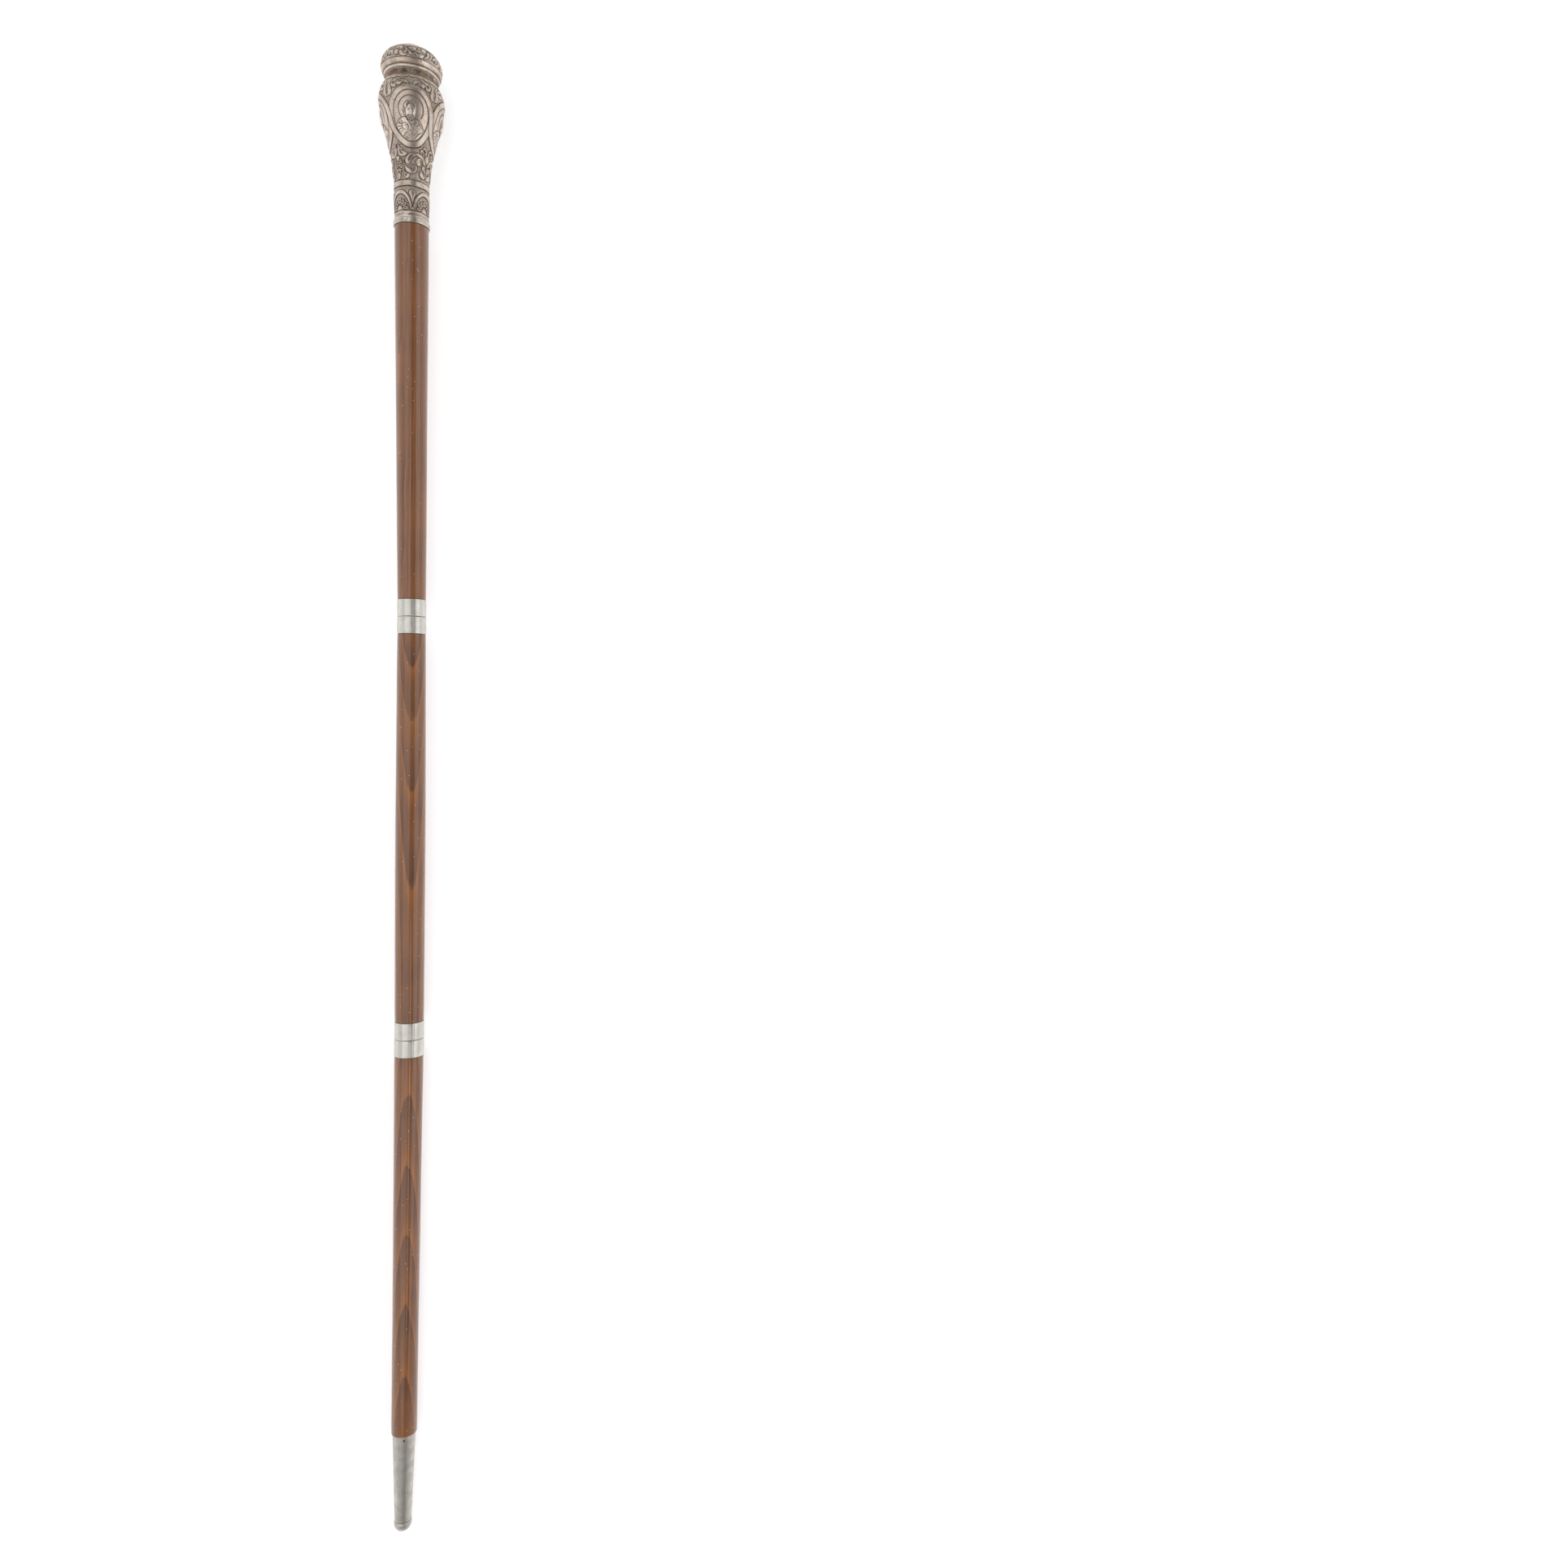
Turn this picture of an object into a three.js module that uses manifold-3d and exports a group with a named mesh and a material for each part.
// A bishop's walking staff: a chased silver knob head, three turned wooden sections joined by two
// screw collars, and a tapered metal ferrule. It lies on its back along Y with the head at +Y, and
// rests on two small flats, one under the bulb of the head and one under the end of the wood.
// Millimetres, +Z up, origin on the floor under the middle of the bounding box.
import * as THREE from "three";
import { mergeVertices } from "three/addons/utils/BufferGeometryUtils.js";
import Module from "manifold-3d";

const wasm = await Module();
wasm.setup();

const { sin, cos, atan, abs, max, min, round, floor, hypot, sqrt, PI } = Math;
const DEGREE = PI / 180;
const { clamp, lerp } = THREE.MathUtils;

// Fits
const clearance = 0.3; // between two pieces that meet or fit in each other
const tenonRadius = 11; // of the shaft's upper end, in the ring and the head
const socketDepth = 42; // of the head's socket for it

// Ring under the head
const ringLength = 4.4;
const ringRadius = 14.9;
const ringTaper = 0.2;

// Wooden sections: the length that shows, and radii from the upper end to the lower
const upperLength = 313.3;
const upperRadii = [14.1, 13.4, 12.7, 12.2, 11.65];
const middleLength = 325.8;
const middleRadii = [11.65, 12.0, 12.3, 12.15, 11.9];
const lowerLength = 316.5;
const lowerRadii = [11.9, 11.35, 11.05, 10.7, 10.55];
const woodEndRound = 0.4; // taken off the wood's edge above the ferrule

// Screw collars, each in two halves with a blind socket for the wood
const collarHalfLength = 14.3;
const collarWall = 1.3;
const collarEnd = 3.2; // closed end of a half, at the seam
const collarProud = 0.2; // of the wood beside it
const seamChamfer = 0.4;
const upperBend = 0.33 * DEGREE; // the screwed sections aren't quite in line
const lowerBend = 0.37 * DEGREE;

// Ferrule, its end cap and its nail
const ferruleLength = 73.6;
const ferruleTopRadius = 9.35;
const ferruleTipRadius = 6.8;
const ferruleWall = 0.8;
const woodBeforeTip = 3; // the wood stops this far inside the small end
const capRadius = 7.2;
const capRim = 2.6; // straight part of the cap, above its dome
const capDome = 6.6;
const nailRadius = 1;
const nailLength = 7;
const nailFromEdge = 3.3;
const nailProud = 0.25;

// Flats that keep the staff from rolling
const bulbFlatDepth = 0.4;
const endFlatDepth = 0.3;
const endFlatFromFerrule = 6;

// Facets
const sides = 24; // round the plain turned pieces
const plainSides = 32; // round the plain mouldings of the head

// Head, measured down from its top: main stations and radii. Its stations and its carving are laid
// out for the length in the last row of headCurve, and stretch with headLength.
const headLength = 147;
const knobAt = 17.7;
const knobRadius = 25;
const waistAt = 29.4;
const waistRadius = 20.7;
const bulbAt = 46;
const bulbRadius = 26.85;
const neckAt = 118;
const neckRadius = 14.4;
const footRadius = 13.9;

// Carved zones of the head, from station to station
const domeZone = [0, 7.3];
const scrollZone = [10.7, 20.7];
const bulbZone = [34.6, 116.4];
const neckZone = [121.5, 141.8];
const zoneEdge = 0.6; // length of the step at a zone's edge

// Depths below the head's profile, and rises above the sunk ground
const groundDepth = 0.7;
const fieldDepth = 0.4;
const leafRise = 0.85;
const bandRise = 0.7;

// Turn of the patterns from the front of the staff
const bulbTurn = -2 * DEGREE;
const neckTurn = 2 * DEGREE;
const spineTurn = 47 * DEGREE; // the upright stem between two scrolls under the medallions

// Radii, in millimetres, at which each zone's pattern was laid out flat
const scrollRadius = 24;
const shoulderRadius = 25.5;
const figureRadius = 24;
const foliageRadius = 16.3;
const neckPatternRadius = 14.3;

// Smooth curve through points [x, y] with rising x
function through(points, x) {
  let i = 0;
  while (i < points.length - 2 && x > points[i + 1][0]) i += 1;
  const [x0, y0] = points[i];
  const [x1, y1] = points[i + 1];
  const slope = (k) => {
    const a = points[max(k - 1, 0)];
    const b = points[min(k + 1, points.length - 1)];
    return (b[1] - a[1]) / (b[0] - a[0]);
  };
  const t = clamp((x - x0) / (x1 - x0), 0, 1);
  const rest = 1 - t;
  return (
    y0 * (1 + 2 * t) * rest * rest +
    (x1 - x0) * slope(i) * t * rest * rest +
    y1 * t * t * (3 - 2 * t) -
    (x1 - x0) * slope(i + 1) * t * t * rest
  );
}

// The head below the knob: the main radii, with points between them that give the curve its fullness
const headCurve = [
  [knobAt, knobRadius],
  [20.6, 24.6],
  [24.5, 23],
  [waistAt, waistRadius],
  [34.5, 23.3],
  [38.3, 25.2],
  [bulbAt, bulbRadius],
  [51, 26.55],
  [58, 25.4],
  [66, 23.6],
  [75, 21.2],
  [91, 17.6],
  [100, 16.2],
  [neckAt, neckRadius],
  [127, 14.6],
  [142, footRadius],
  [147, footRadius],
];
const drawnLength = headCurve.at(-1)[0];
const headStretch = headLength / drawnLength;

// Radius of the head at a station: an elliptic dome, then the curve
function headRadius(station) {
  if (station >= knobAt) return through(headCurve, station);
  return knobRadius * sqrt(max(0, 1 - ((knobAt - station) / knobAt) ** 2));
}
const domeStation = (planRadius) => knobAt * (1 - sqrt(1 - (planRadius / knobRadius) ** 2));

// Angle from the middle of the nearest of several equal sectors
function inSector(angle, count, turn) {
  const sector = (2 * PI) / count;
  const a = angle - turn;
  return a - sector * round(a / sector);
}

// Rounded leaf, 0 to 1: an ellipsoid with its middle at [x, y], half its length along y, half its
// width, and its lean from upright in degrees
function leaf(x, y, [middleX, middleY, halfLength, halfWidth, lean = 0]) {
  const dx = x - middleX;
  const dy = y - middleY;
  const c = cos(lean * DEGREE);
  const s = sin(lean * DEGREE);
  const along = (dy * c + dx * s) / halfLength;
  const across = (dx * c - dy * s) / halfWidth;
  return sqrt(max(0, 1 - along * along - across * across));
}

// Points that catch a leaf's form, in rings of a share of its size and a count: its middle, a ring
// on its crown and a ring just outside it
const leafRings = [[0, 1], [0.6, 4], [1.03, 7]];
function leafPoints([middleX, middleY, halfLength, halfWidth, lean = 0], rings = leafRings) {
  const points = [];
  const c = cos(lean * DEGREE);
  const s = sin(lean * DEGREE);
  for (const [share, count] of rings) {
    for (let i = 0; i < count; i += 1) {
      const turn = (2 * PI * i) / count;
      const along = share * halfLength * cos(turn);
      const across = share * halfWidth * sin(turn);
      points.push([middleX + along * s + across * c, middleY + along * c - across * s]);
    }
  }
  return points;
}

// Rounded stem, 0 to 1, along straight stretches between points
function stem(x, y, { halfWidth, path }) {
  let nearest = Infinity;
  for (let i = 0; i < path.length - 1; i += 1) {
    const [ax, ay] = path[i];
    const [bx, by] = path[i + 1];
    const length2 = (bx - ax) ** 2 + (by - ay) ** 2;
    const t = clamp(((x - ax) * (bx - ax) + (y - ay) * (by - ay)) / length2, 0, 1);
    nearest = min(nearest, hypot(x - lerp(ax, bx, t), y - lerp(ay, by, t)));
  }
  return sqrt(max(0, 1 - (nearest / halfWidth) ** 2));
}

// Points that catch a stem's form: its crest and both of its edges, at each corner of its path
function stemPoints({ halfWidth, path }) {
  return path.flatMap(([x, y], i) => {
    const [ax, ay] = path[max(i - 1, 0)];
    const [bx, by] = path[min(i + 1, path.length - 1)];
    const length = hypot(bx - ax, by - ay);
    const across = [(-1.03 * halfWidth * (by - ay)) / length, (1.03 * halfWidth * (bx - ax)) / length];
    return [[x, y], [x + across[0], y + across[1]], [x - across[0], y - across[1]]];
  });
}

// Motifs laid out flat as [degrees, station, ...], put into millimetres at a pattern's radius
const laidOut = (radius, motifs) =>
  motifs.map(([degrees, ...rest]) => [radius * degrees * DEGREE, ...rest]);

// A pattern of leaves and stems, repeated in equal sectors round the head. A mirrored one is drawn
// on one side of its middle only.
function pattern({ count, turn, radius, mirrored, leaves, stems, reach = 0 }) {
  const sector = (2 * PI) / count;
  const ownLeaves = laidOut(radius, leaves);
  const ownStems = stems.map(([halfWidth, path]) => ({ halfWidth, path: laidOut(radius, path) }));
  const shifts = reach ? [-sector, 0, sector] : [0];
  const rise = (angle, station) => {
    const own = inSector(angle, count, turn);
    const values = shifts.flatMap((shift) => {
      const x = radius * (mirrored ? abs(own) : own + shift);
      return [
        ...ownLeaves.map((one) => leaf(x, station, one)),
        ...ownStems.map((one) => stem(x, station, one)),
      ];
    });
    return leafRise * max(...values);
  };
  const motifPoints = [
    ...ownLeaves.flatMap((one) => leafPoints(one)),
    ...ownStems.flatMap((one) => stemPoints(one)),
  ];
  const points = Array.from({ length: count }).flatMap((_, i) =>
    motifPoints.flatMap(([x, station]) => {
      const sides = mirrored ? [x / radius, -x / radius] : [x / radius];
      return sides.map((a) => [a + turn + i * sector, station]);
    }),
  );
  return { rise, points };
}

// Dome: twelve overlapping petals round a low boss
const petalCount = 12;
const petalTurn = -4 * DEGREE;
const petal = [0, 11.9, 6.6, 3.3]; // in plan: distance from the axis, half length, half width
const bossRadius = 4.6;
const bossRise = 0.6;
function domeRise(angle, station) {
  const planRadius = headRadius(station);
  const x = planRadius * inSector(angle, petalCount, petalTurn);
  const boss = bossRise * sqrt(max(0, 1 - (planRadius / bossRadius) ** 2));
  return max(leafRise * leaf(x, planRadius, petal), planRadius < bossRadius ? bandRise + boss : 0);
}
const domePoints = Array.from({ length: petalCount }).flatMap((_, i) =>
  leafPoints(petal).map(([x, planRadius]) => [
    x / planRadius + petalTurn + (2 * PI * i) / petalCount,
    domeStation(planRadius),
  ]),
);

// Scroll band: each quarter holds a rising stem, a falling stem and their comma leaves
const scroll = pattern({
  count: 4,
  turn: 0,
  radius: scrollRadius,
  mirrored: false,
  reach: 1,
  leaves: [
    [-27, 13.4, 1.9, 4.4, 6],
    [-20.5, 18, 2.1, 2.7],
    [-11, 15.5, 3.4, 1.5, -25],
    [-43.5, 16.7, 2.3, 2.8, -15],
    [-31, 17.5, 2, 1.8],
    [3, 13.8, 2.1, 3],
    [14, 13, 1.7, 1.5],
    [23, 13.6, 2.4, 2.4],
    [33, 15.8, 3.8, 1.6, -15],
    [16, 18, 1.9, 4.3, -8],
    [-3, 18.5, 1.3, 1.9],
  ],
  stems: [
    [0.9, [[-57, 19.4], [-47, 14.5], [-36, 11.6], [-18, 11.6]]],
    [0.9, [[-18, 11.6], [-5, 16], [10, 19.4]]],
  ],
});

// Shoulder: on each side of a medallion a scroll with two comma leaves, ending in a hanging lobe
const shoulder = pattern({
  count: 4,
  turn: bulbTurn,
  radius: shoulderRadius,
  mirrored: true,
  leaves: [
    [31, 41.9, 3.4, 2.2],
    [20.5, 41.5, 2.6, 2.1],
  ],
  stems: [
    [1.5, [
      [3.5, 42.3], [9, 39.3], [18, 37.5], [30, 37], [38, 38.6], [40.8, 42], [40.2, 46], [44.2, 49.6],
    ]],
  ],
});

// Foliage under the medallions, mirrored about the spine and about the chain of scales
const foliage = pattern({
  count: 2,
  turn: spineTurn,
  radius: foliageRadius,
  mirrored: true,
  leaves: [
    [54, 102.3, 2.4, 1.6, -10],
    [27, 101.4, 2.8, 2.2],
    [66, 112.4, 2.8, 2.3],
    [0, 96, 2.7, 1.6],
    [9, 91.4, 2.8, 1.5, 12],
    [19, 93, 2.2, 1.3, 20],
    [90, 100, 2.2, 1.8],
    [90, 112.6, 2.8, 1.8],
    [82, 101.8, 1.8, 1.2, -12],
    [82, 105.6, 1.8, 1.2, -12],
    [82, 109.4, 1.8, 1.2, -12],
  ],
  stems: [
    [1.6, [
      [2.5, 104], [7, 99.7], [17, 96.8], [35, 96], [50, 97.3], [60, 100], [65, 104], [63, 108],
      [54, 110.2], [43, 110], [37, 107.5], [41, 105.2],
    ]],
    [1.2, [[5.5, 104.5], [4, 108.5], [8, 112], [16, 112], [18, 109.5]]],
    [1.4, [[90, 89.3], [84, 91], [81, 94.3], [75, 96.2], [70, 93.6]]],
  ],
});

// Medallions: an oval field in a flat band, which runs into the bands beside it
const ovalAt = 67.4;
const ovalHalfHeight = 19.2;
const ovalHalfAngle = 36 * DEGREE;
const frameWidth = 4.75;
const frameEdge = 0.5;
// Distance outside an oval's edge, to first order
function outsideOval(angle, station) {
  const u = angle / ovalHalfAngle;
  const v = (station - ovalAt) / ovalHalfHeight;
  const share = max(hypot(u, v), 1e-3);
  const slopeAcross = u / share / ovalHalfAngle / headRadius(station);
  const slopeAlong = v / share / ovalHalfHeight;
  return (share - 1) / hypot(slopeAcross, slopeAlong);
}

// The figure in a medallion: halo, head, shoulders and open book, in low relief
const halo = [0, 62.5, 10, 10];
const figureHead = [0.3, 64.9, 7.2, 4.9, 6];
const figureShoulders = [0, 88, 19.5, 14.5];
const openBook = [2.5, 80.5, 3.2, 6];
function figureRise(angle, station) {
  const x = figureRadius * angle;
  const haloRise = leaf(x, station, halo) > 0 ? 0.35 : 0;
  const shoulders = 0.7 * leaf(x, station, figureShoulders) ** 0.3;
  const book = shoulders + 0.5 * leaf(x, station, openBook) ** 0.5;
  return max(haloRise, shoulders, book, 1.3 * leaf(x, station, figureHead) ** 0.7);
}
const figurePoints = [
  [halo, [[0.96, 12], [1.04, 12]]],
  [figureHead, [[0, 1], [0.65, 6], [1.04, 9]]],
  [figureShoulders, [[0.95, 14], [1.03, 14]]],
  [openBook, [[0.7, 5], [1.04, 8]]],
].flatMap(([form, rings]) => leafPoints(form, rings));

function medallionRise(angle, station) {
  const own = inSector(angle, 4, bulbTurn);
  const neighbour = own - Math.sign(own) * (PI / 2);
  const distance = outsideOval(own, station);
  if (distance < 0) {
    const inside = clamp(-distance / frameEdge, 0, 1);
    return groundDepth - fieldDepth + inside * figureRise(own, station);
  }
  const frames = [distance, outsideOval(neighbour, station)].map((d) =>
    clamp(min(d, frameWidth - d) / frameEdge, 0, 1),
  );
  return bandRise * max(...frames);
}

// Points on both edges of the bands and in the figures
function medallionPoints() {
  const points = [];
  const steps = 30;
  for (let k = 0; k < 4; k += 1) {
    const middle = bulbTurn + (PI / 2) * k;
    for (const [x, station] of figurePoints) {
      const angle = x / figureRadius;
      if (outsideOval(angle, station) < -frameEdge) points.push([middle + angle, station]);
    }
    for (const distance of [-0.1, frameEdge, frameWidth - frameEdge, frameWidth + 0.1]) {
      for (let i = 0; i < steps; i += 1) {
        const turn = (2 * PI * (i + 0.5)) / steps;
        const [u, v] = [cos(turn), sin(turn)];
        let share = 1;
        for (let pass = 0; pass < 4; pass += 1) {
          const slope = hypot(
            u / ovalHalfAngle / headRadius(ovalAt + ovalHalfHeight * v * share),
            v / ovalHalfHeight,
          );
          share = 1 + distance * slope;
        }
        const angle = ovalHalfAngle * u * share;
        if (abs(angle) < PI / 4) points.push([middle + angle, ovalAt + ovalHalfHeight * v * share]);
      }
    }
  }
  return points;
}

// Neck: four round arches, a palmette under each, and a drop with a bead between two arches
const archFoot = 141.5;
const archOuter = [45 * DEGREE, 17.2]; // half span and rise
const archInner = [35.5 * DEGREE, 13.5];
const archEdge = 0.5;
const dropTip = 137.4;
const palmetteReach = [5.6, 7.5]; // of the petals' middles from the palmette's foot, across and up
const palmetteLeans = [0, 30, 55, 78];
const palmetteLeaf = [2.1, 1.25]; // half length and half width
const neckMotifs = pattern({
  count: 4,
  turn: neckTurn,
  radius: neckPatternRadius,
  mirrored: true,
  leaves: [
    [0, 127.6, 3.1, 2.7],
    [0, 139.9, 1.35, 1.35],
    [45, 141.2, 3.2, 3],
    ...palmetteLeans.map((lean) => [
      45 - (palmetteReach[0] * sin(lean * DEGREE)) / neckPatternRadius / DEGREE,
      archFoot - palmetteReach[1] * cos(lean * DEGREE),
      ...palmetteLeaf,
      lean,
    ]),
  ],
  stems: [
    [1.9, [[0, 128.5], [0, 131.5]]],
    [1, [[0, 131.5], [0, dropTip - 1]]],
  ],
});
// Distance inside an arch's curve, to first order
function insideArch(fromMiddle, station, [span, rise]) {
  const [u, v] = [fromMiddle / span, (archFoot - station) / rise];
  const share = max(hypot(u, v), 1e-3);
  return ((1 - share) * share) / hypot(u / span / neckPatternRadius, v / rise);
}
function neckRise(angle, station) {
  const fromArch = PI / 4 - abs(inSector(angle, 4, neckTurn));
  const ribbon = min(
    insideArch(fromArch, station, archOuter),
    -insideArch(fromArch, station, archInner),
  );
  return max(bandRise * clamp(ribbon / archEdge, 0, 1), neckMotifs.rise(angle, station));
}
function archPoints() {
  const points = [];
  const steps = 14;
  const edges = [[archOuter, 0.1], [archOuter, -archEdge], [archInner, archEdge], [archInner, -0.1]];
  for (let k = 0; k < 4; k += 1) {
    for (const [[span, rise], shift] of edges) {
      for (let i = 0; i <= steps; i += 1) {
        const turn = (PI * i) / steps;
        const fromMiddle = (span + shift / neckPatternRadius) * cos(turn);
        const station = archFoot - (rise + shift) * sin(turn);
        if (abs(fromMiddle) < PI / 4 && station < neckZone[1] - zoneEdge) {
          points.push([neckTurn + PI / 4 + (k * PI) / 2 + fromMiddle, station]);
        }
      }
    }
  }
  return points;
}

// Height of the head's surface above its profile
const carvedZones = [
  [domeZone, domeRise],
  [scrollZone, scroll.rise],
  [
    bulbZone,
    (angle, station) =>
      max(medallionRise(angle, station), shoulder.rise(angle, station), foliage.rise(angle, station)),
  ],
  [neckZone, neckRise],
];
function headRelief(angle, station) {
  for (const [[from, to], rise] of carvedZones) {
    const inside = clamp(min(from > 0 ? station - from : to, to - station) / zoneEdge, 0, 1);
    if (inside > 0) return inside * (rise(angle, station) - groundDepth);
  }
  return 0;
}

// The point of the head's surface at an angle and station, moved by the relief along the normal
function headPoint(angle, station) {
  const step = 0.05;
  const before = max(station - step, 0);
  const rise = headRadius(station + step) - headRadius(before);
  const run = station + step - before;
  const height = headRelief(angle, station) / hypot(rise, run);
  const radius = headRadius(station) + height * run;
  const y = (height * rise - station) * headStretch;
  return new THREE.Vector3(radius * sin(angle), y, radius * cos(angle));
}

// Map of the head's skin, true in its angles: x goes round, y goes down
const mapRadius = 20;
const mapStep = 0.25;
const firstStation = 0.5;
const mapDepths = [0];
for (let s = firstStation; s < drawnLength; s += mapStep) {
  const radii = [headRadius(s), headRadius(s + mapStep)];
  const arc = hypot(mapStep, radii[1] - radii[0]);
  mapDepths.push(mapDepths.at(-1) + (arc * mapRadius * 2) / (radii[0] + radii[1]));
}
function mapY(station) {
  const at = (station - firstStation) / mapStep;
  const i = min(floor(at), mapDepths.length - 2);
  return lerp(mapDepths[i], mapDepths[i + 1], at - i);
}

// Stations with a row of plain points: the ends, the mouldings and both sides of each zone's edge
const plainRows = [
  [12, [firstStation]],
  [plainSides, [
    domeZone[1] - zoneEdge, domeZone[1], 9, scrollZone[0], scrollZone[0] + zoneEdge,
    scrollZone[1] - zoneEdge, scrollZone[1], 24.5, 26.9, waistAt, 31.6, bulbZone[0],
    bulbZone[0] + zoneEdge, bulbZone[1] - zoneEdge, bulbZone[1], neckZone[0],
    neckZone[0] + zoneEdge, neckZone[1] - zoneEdge, neckZone[1], drawnLength,
  ]],
];
const fillStep = 5; // of the loose grid between the motifs
const nearestPoints = 0.7; // two points closer than this would make slivers
const seamMargin = 0.5;

// All points of the skin as [angle, station], the important ones first
function skinPoints() {
  const kept = [];
  const far = (angle, station, gap) =>
    kept.every(([a, s]) => {
      const across = abs(((a - angle + 3 * PI) % (2 * PI)) - PI) * headRadius(station);
      return abs(s - station) > gap || hypot(across, s - station) > gap;
    });
  for (const [count, stations] of plainRows) {
    for (const station of stations) {
      for (let i = 0; i < count; i += 1) kept.push([-PI + (2 * PI * i) / count, station]);
    }
  }
  const carved = [
    ...medallionPoints(), ...archPoints(), ...domePoints,
    ...scroll.points, ...shoulder.points, ...foliage.points, ...neckMotifs.points,
  ];
  const inCarving = (station) =>
    carvedZones.some(([[from, to]]) => station > max(from + zoneEdge, 1) && station < to - zoneEdge);
  const add = (angle, station, gap) => {
    const turned = angle - 2 * PI * round(angle / (2 * PI));
    const onSeam = (PI - abs(turned)) * headRadius(station) < seamMargin;
    if (!onSeam && inCarving(station) && far(turned, station, gap)) kept.push([turned, station]);
  };
  for (const [angle, station] of carved) add(angle, station, nearestPoints);
  const seamStep = 3;
  for (let s = bulbZone[0] + seamStep; s < bulbZone[1] - zoneEdge; s += seamStep) kept.push([-PI, s]);
  for (let s = neckZone[0] + seamStep; s < neckZone[1] - zoneEdge; s += seamStep) kept.push([-PI, s]);
  for (let s = 2; s < drawnLength; s += fillStep) {
    const count = round((2 * PI * headRadius(s)) / fillStep);
    for (let i = 0; i < count; i += 1) add(-PI + (2 * PI * (i + 0.5)) / count, s, fillStep * 0.55);
  }
  return kept;
}

// Delaunay triangles over points of a plane, each point added in turn to the triangles it falls among
function triangulated(points) {
  const farAway = 1e5;
  const all = [...points, [-farAway, -farAway], [farAway, -farAway], [0, farAway]];
  const circle = (a, b, c) => {
    const [[ax, ay], [bx, by], [cx, cy]] = [all[a], all[b], all[c]];
    const [ux, uy, vx, vy] = [bx - ax, by - ay, cx - ax, cy - ay];
    const d = 2 * (ux * vy - uy * vx);
    const x = (vy * (ux * ux + uy * uy) - uy * (vx * vx + vy * vy)) / d;
    const y = (ux * (vx * vx + vy * vy) - vx * (ux * ux + uy * uy)) / d;
    return { corners: [a, b, c], x: ax + x, y: ay + y, r2: x * x + y * y };
  };
  const count = points.length;
  let triangles = [circle(count, count + 1, count + 2)];
  for (let i = 0; i < count; i += 1) {
    const [x, y] = all[i];
    const edges = new Map();
    const kept = [];
    for (const one of triangles) {
      if ((x - one.x) ** 2 + (y - one.y) ** 2 >= one.r2) {
        kept.push(one);
        continue;
      }
      const [a, b, c] = one.corners;
      for (const [p, q] of [[a, b], [b, c], [c, a]]) {
        const back = `${q},${p}`;
        if (edges.has(back)) edges.delete(back);
        else edges.set(`${p},${q}`, [p, q]);
      }
    }
    for (const [p, q] of edges.values()) kept.push(circle(p, q, i));
    triangles = kept;
  }
  return triangles.map((one) => one.corners).filter((face) => max(...face) < count);
}

// The head: its skin, closed at the top by a fan and below by the shaft's socket
function headBody() {
  const skin = skinPoints();
  const seam = skin.filter(([angle]) => angle === -PI);
  const all = [...skin, ...seam.map(([, station]) => [PI, station])];
  const jitter = (k) => 1e-4 * sin(k * 12.9898);
  const flat = all.map(([angle, station], k) => {
    const inner = abs(angle) < PI - 1e-9 && station > firstStation && station < drawnLength;
    return [mapRadius * angle, mapY(station) + (inner ? jitter(k) : 0)];
  });
  const positions = all.map(([angle, station]) => headPoint(angle, station));
  const faces = triangulated(flat).map(([a, b, c]) => [a, c, b]);
  const fan = (station, point, facing) => {
    const ring = all.flatMap(([, s], k) => (s === station ? [k] : []));
    ring.sort((a, b) => all[a][0] - all[b][0]);
    positions.push(point);
    for (let i = 0; i < ring.length - 1; i += 1) {
      const face = [ring[i], ring[i + 1], positions.length - 1];
      faces.push(facing ? face : face.reverse());
    }
  };
  fan(firstStation, headPoint(0, 0), true);
  fan(drawnLength, new THREE.Vector3(0, -headLength, 0), false);
  const body = new THREE.BufferGeometry().setFromPoints(positions);
  body.setIndex(faces.flat());
  const socketRadius = tenonRadius + clearance;
  const socket = new THREE.CylinderGeometry(socketRadius, socketRadius, 2 * socketDepth, sides);
  socket.translate(0, -headLength, 0);
  return without(body, socket);
}

// A turned body from [radius, y] points that run from the top of its axis to the bottom
function turned(points) {
  const profile = points.map(([radius, y]) => new THREE.Vector2(radius, y)).reverse();
  return new THREE.LatheGeometry(profile, sides);
}

// Booleans
function solidOf(geometry) {
  const bare = geometry.clone();
  bare.deleteAttribute("normal");
  bare.deleteAttribute("uv");
  const merged = mergeVertices(bare, 1e-4);
  const index = Array.from(merged.index.array);
  const triVerts = [];
  for (let i = 0; i < index.length; i += 3) {
    const face = index.slice(i, i + 3);
    if (new Set(face).size === 3) triVerts.push(...face);
  }
  return new wasm.Manifold(
    new wasm.Mesh({
      numProp: 3,
      vertProperties: new Float32Array(merged.attributes.position.array),
      triVerts: new Uint32Array(triVerts),
    }),
  );
}

function geometryOf(solid) {
  const mesh = solid.getMesh();
  const made = new THREE.BufferGeometry();
  made.setAttribute("position", new THREE.BufferAttribute(mesh.vertProperties, 3));
  made.setIndex(new THREE.BufferAttribute(mesh.triVerts, 1));
  return made;
}

const without = (body, cutter) => geometryOf(solidOf(body).subtract(solidOf(cutter)));

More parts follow.
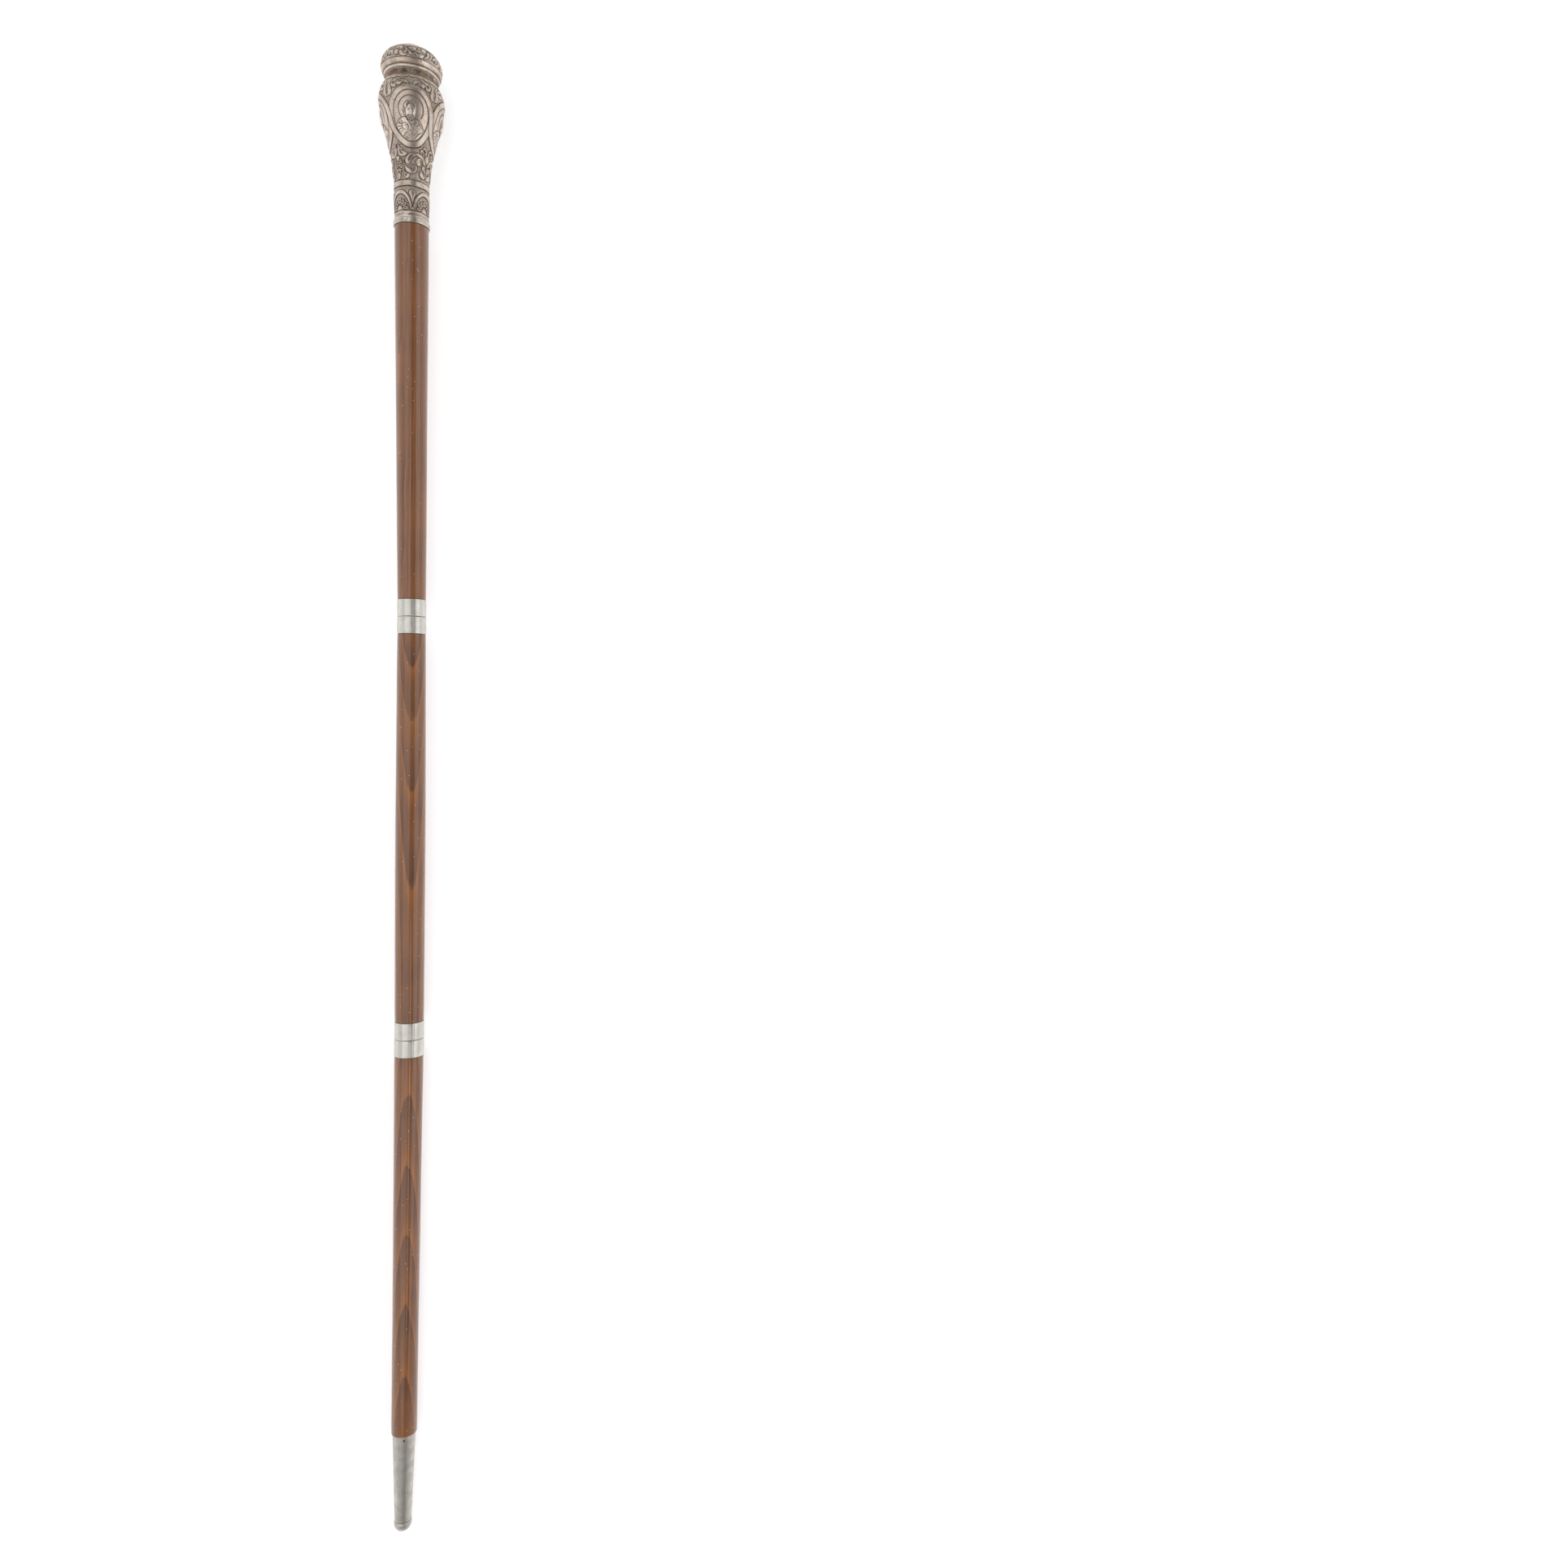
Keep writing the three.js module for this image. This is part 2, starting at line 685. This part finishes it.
// Materials
const chasedSilver = new THREE.MeshStandardMaterial({ color: 0xa5968c, metalness: 1, roughness: 0.4 });
const brightSilver = new THREE.MeshStandardMaterial({ color: 0xcdc8be, metalness: 1, roughness: 0.25 });
const dullMetal = new THREE.MeshStandardMaterial({ color: 0xa39d94, metalness: 1, roughness: 0.45 });
const varnishedWood = new THREE.MeshStandardMaterial({ color: 0x8a5136, roughness: 0.35 });
const rust = new THREE.MeshStandardMaterial({ color: 0x5c3420, roughness: 0.9 });

function piece(name, geometry, material) {
  const mesh = new THREE.Mesh(geometry, material);
  mesh.name = name;
  return mesh;
}

// Stations down the staff where one piece ends and the next begins
const ringTop = headLength + clearance;
const upperTop = ringTop + ringLength + clearance;
const upperEnd = upperTop + upperLength;
const collarLength = 2 * collarHalfLength + clearance;
const upperSeam = upperEnd + clearance + collarLength / 2;
const middleTop = upperEnd + collarLength + 2 * clearance;
const middleEnd = middleTop + middleLength;
const lowerSeam = middleEnd + clearance + collarLength / 2;
const lowerTop = middleEnd + collarLength + 2 * clearance;
const lowerEnd = lowerTop + lowerLength;
const ferruleTop = lowerEnd + clearance;
const ferruleTip = ferruleTop + ferruleLength;
const capTop = ferruleTip + clearance;

// Ring under the head, slightly tapered, round the shaft's upper end
function headRing() {
  const inner = tenonRadius + clearance;
  return turned([
    [inner, -ringTop],
    [ringRadius, -ringTop],
    [ringRadius - ringTaper, -ringTop - ringLength],
    [inner, -ringTop - ringLength],
    [inner, -ringTop],
  ]);
}

// Wood between two stations, with its radii evenly spaced, as [radius, y] points
const woodPoints = (radii, top, length) =>
  radii.map((radius, i) => [radius, -top - (length * i) / (radii.length - 1)]);

// The turned-down end of the wood in a collar
const collarTenon = collarHalfLength - collarEnd - clearance;
const collarOuter = (woodRadius) => woodRadius + collarProud;
const collarTenonRadius = (woodRadius) => collarOuter(woodRadius) - collarWall - clearance;

function upperWood() {
  const endRadius = collarTenonRadius(upperRadii.at(-1));
  const tenonTop = headLength - socketDepth + clearance;
  return turned([
    [0, -tenonTop],
    [tenonRadius, -tenonTop],
    [tenonRadius, -upperTop],
    ...woodPoints(upperRadii, upperTop, upperLength),
    [endRadius, -upperEnd],
    [endRadius, -upperEnd - collarTenon],
    [0, -upperEnd - collarTenon],
  ]);
}

// Measured from the upper seam
function middleWood() {
  const top = middleTop - upperSeam;
  const end = top + middleLength;
  const topRadius = collarTenonRadius(middleRadii[0]);
  const endRadius = collarTenonRadius(middleRadii.at(-1));
  return turned([
    [0, -top + collarTenon],
    [topRadius, -top + collarTenon],
    [topRadius, -top],
    ...woodPoints(middleRadii, top, middleLength),
    [endRadius, -end],
    [endRadius, -end - collarTenon],
    [0, -end - collarTenon],
  ]);
}

// Hole for the nail, and the nail: round bars pointing out of the front of the staff
const nailAt = ferruleTop + nailFromEdge - lowerSeam;
const nailShare = nailFromEdge / ferruleLength;
const nailHeadAt = lerp(ferruleTopRadius, ferruleTipRadius, nailShare) + nailProud;
function roundBar(radius, fromAxis, toAxis) {
  const bar = new THREE.CylinderGeometry(radius, radius, toAxis - fromAxis, 12);
  bar.rotateX(PI / 2);
  bar.translate(0, -nailAt, (fromAxis + toAxis) / 2);
  return bar;
}
const nailHole = () =>
  roundBar(nailRadius + clearance, nailHeadAt - nailLength - clearance, nailHeadAt + 1);

// Measured from the lower seam, with a tapered end inside the ferrule
function lowerWood() {
  const top = lowerTop - lowerSeam;
  const end = top + lowerLength;
  const topRadius = collarTenonRadius(lowerRadii[0]);
  const edge = lowerRadii.at(-1);
  const gap = ferruleWall + clearance;
  const tipDepth = ferruleLength + clearance - woodBeforeTip;
  const tipShare = (ferruleLength - woodBeforeTip) / ferruleLength;
  const visible = woodPoints(lowerRadii, top, lowerLength);
  visible.splice(-1, 1, [edge, -end + 2 * woodEndRound], [edge - woodEndRound, -end]);
  const wood = turned([
    [0, -top + collarTenon],
    [topRadius, -top + collarTenon],
    [topRadius, -top],
    ...visible,
    [ferruleTopRadius - gap, -end],
    [lerp(ferruleTopRadius, ferruleTipRadius, tipShare) - gap, -end - tipDepth],
    [0, -end - tipDepth],
  ]);
  return without(wood, nailHole());
}

// A collar's half above (side 1) or below (side -1) its seam, which is at y = 0
function collarHalf(woodRadius, side) {
  const outer = collarOuter(woodRadius);
  const inner = outer - collarWall;
  const face = clearance / 2;
  const end = face + collarHalfLength;
  const points = [
    [0, face + collarEnd],
    [inner, face + collarEnd],
    [inner, end],
    [outer, end],
    [outer, face + seamChamfer],
    [outer - seamChamfer, face],
    [0, face],
  ].map(([radius, y]) => [radius, side * y]);
  return turned(side > 0 ? points : points.reverse());
}

function ferruleTube() {
  const top = ferruleTop - lowerSeam;
  const tip = ferruleTip - lowerSeam;
  const tube = turned([
    [ferruleTopRadius - ferruleWall, -top],
    [ferruleTopRadius, -top],
    [ferruleTipRadius, -tip],
    [ferruleTipRadius - ferruleWall, -tip],
    [ferruleTopRadius - ferruleWall, -top],
  ]);
  return without(tube, nailHole());
}

function tipCap() {
  const top = capTop - lowerSeam;
  const domeSteps = 6;
  const dome = Array.from({ length: domeSteps + 1 }, (_, i) => {
    const turn = (PI / 2) * (i / domeSteps);
    return [capRadius * cos(turn), -top - capRim - capDome * sin(turn)];
  });
  dome.at(-1)[0] = 0;
  return turned([[0, -top], [ferruleTipRadius, -top], [capRadius, -top - clearance], ...dome]);
}

// The staff as it lies: its axis sinks towards the tip, so that both flats are on the floor
const bulbRest = bulbRadius - bulbFlatDepth;
const endRest = lowerRadii.at(-1) - endFlatDepth;
const bulbRestAt = bulbAt * headStretch;
const endRestAt = lowerEnd - endFlatFromFerrule;
const fall = (bulbRest - endRest) / (endRestAt - bulbRestAt);
const tilt = atan(fall);
const staff = new THREE.Group();
staff.rotation.x = tilt;
staff.position.z = cos(tilt) * (bulbRest + bulbRestAt * fall);

const middleSection = new THREE.Group();
middleSection.position.y = -upperSeam;
middleSection.rotation.z = -upperBend;
const lowerSection = new THREE.Group();
lowerSection.position.y = upperSeam - lowerSeam;
lowerSection.rotation.z = -lowerBend;
middleSection.add(lowerSection);

const head = piece("head", headBody(), chasedSilver);
const lowerShaft = piece("shaft_lower", lowerWood(), varnishedWood);
const upperCollarTop = piece("collar_upper_top", collarHalf(upperRadii.at(-1), 1), brightSilver);
upperCollarTop.position.y = -upperSeam;
const lowerCollarTop = piece("collar_lower_top", collarHalf(middleRadii.at(-1), 1), brightSilver);
lowerCollarTop.position.y = upperSeam - lowerSeam;
const nail = roundBar(nailRadius, nailHeadAt - nailLength, nailHeadAt);

staff.add(head);
staff.add(piece("head_ring", headRing(), brightSilver));
staff.add(piece("shaft_upper", upperWood(), varnishedWood));
staff.add(upperCollarTop);
staff.add(middleSection);
middleSection.add(piece("collar_upper_bottom", collarHalf(middleRadii[0], -1), brightSilver));
middleSection.add(piece("shaft_middle", middleWood(), varnishedWood));
middleSection.add(lowerCollarTop);
lowerSection.add(piece("collar_lower_bottom", collarHalf(lowerRadii[0], -1), brightSilver));
lowerSection.add(lowerShaft);
lowerSection.add(piece("tip_ferrule", ferruleTube(), dullMetal));
lowerSection.add(piece("tip_cap", tipCap(), dullMetal));
lowerSection.add(piece("ferrule_nail", nail, rust));

// Cuts the flats where a piece would reach below the floor
function restOnFloor(mesh) {
  const below = new THREE.BoxGeometry(200, 4000, 10);
  below.translate(0, 0, -5);
  below.applyMatrix4(mesh.matrixWorld.clone().invert());
  mesh.geometry = without(mesh.geometry, below);
}
staff.updateMatrixWorld(true);
restOnFloor(head);
restOnFloor(lowerShaft);

// The origin goes under the middle of the bounding box
const middle = new THREE.Box3().setFromObject(staff, true).getCenter(new THREE.Vector3());
staff.position.x -= middle.x;
staff.position.y -= middle.y;

const part = new THREE.Group();
part.add(staff);
export default part;
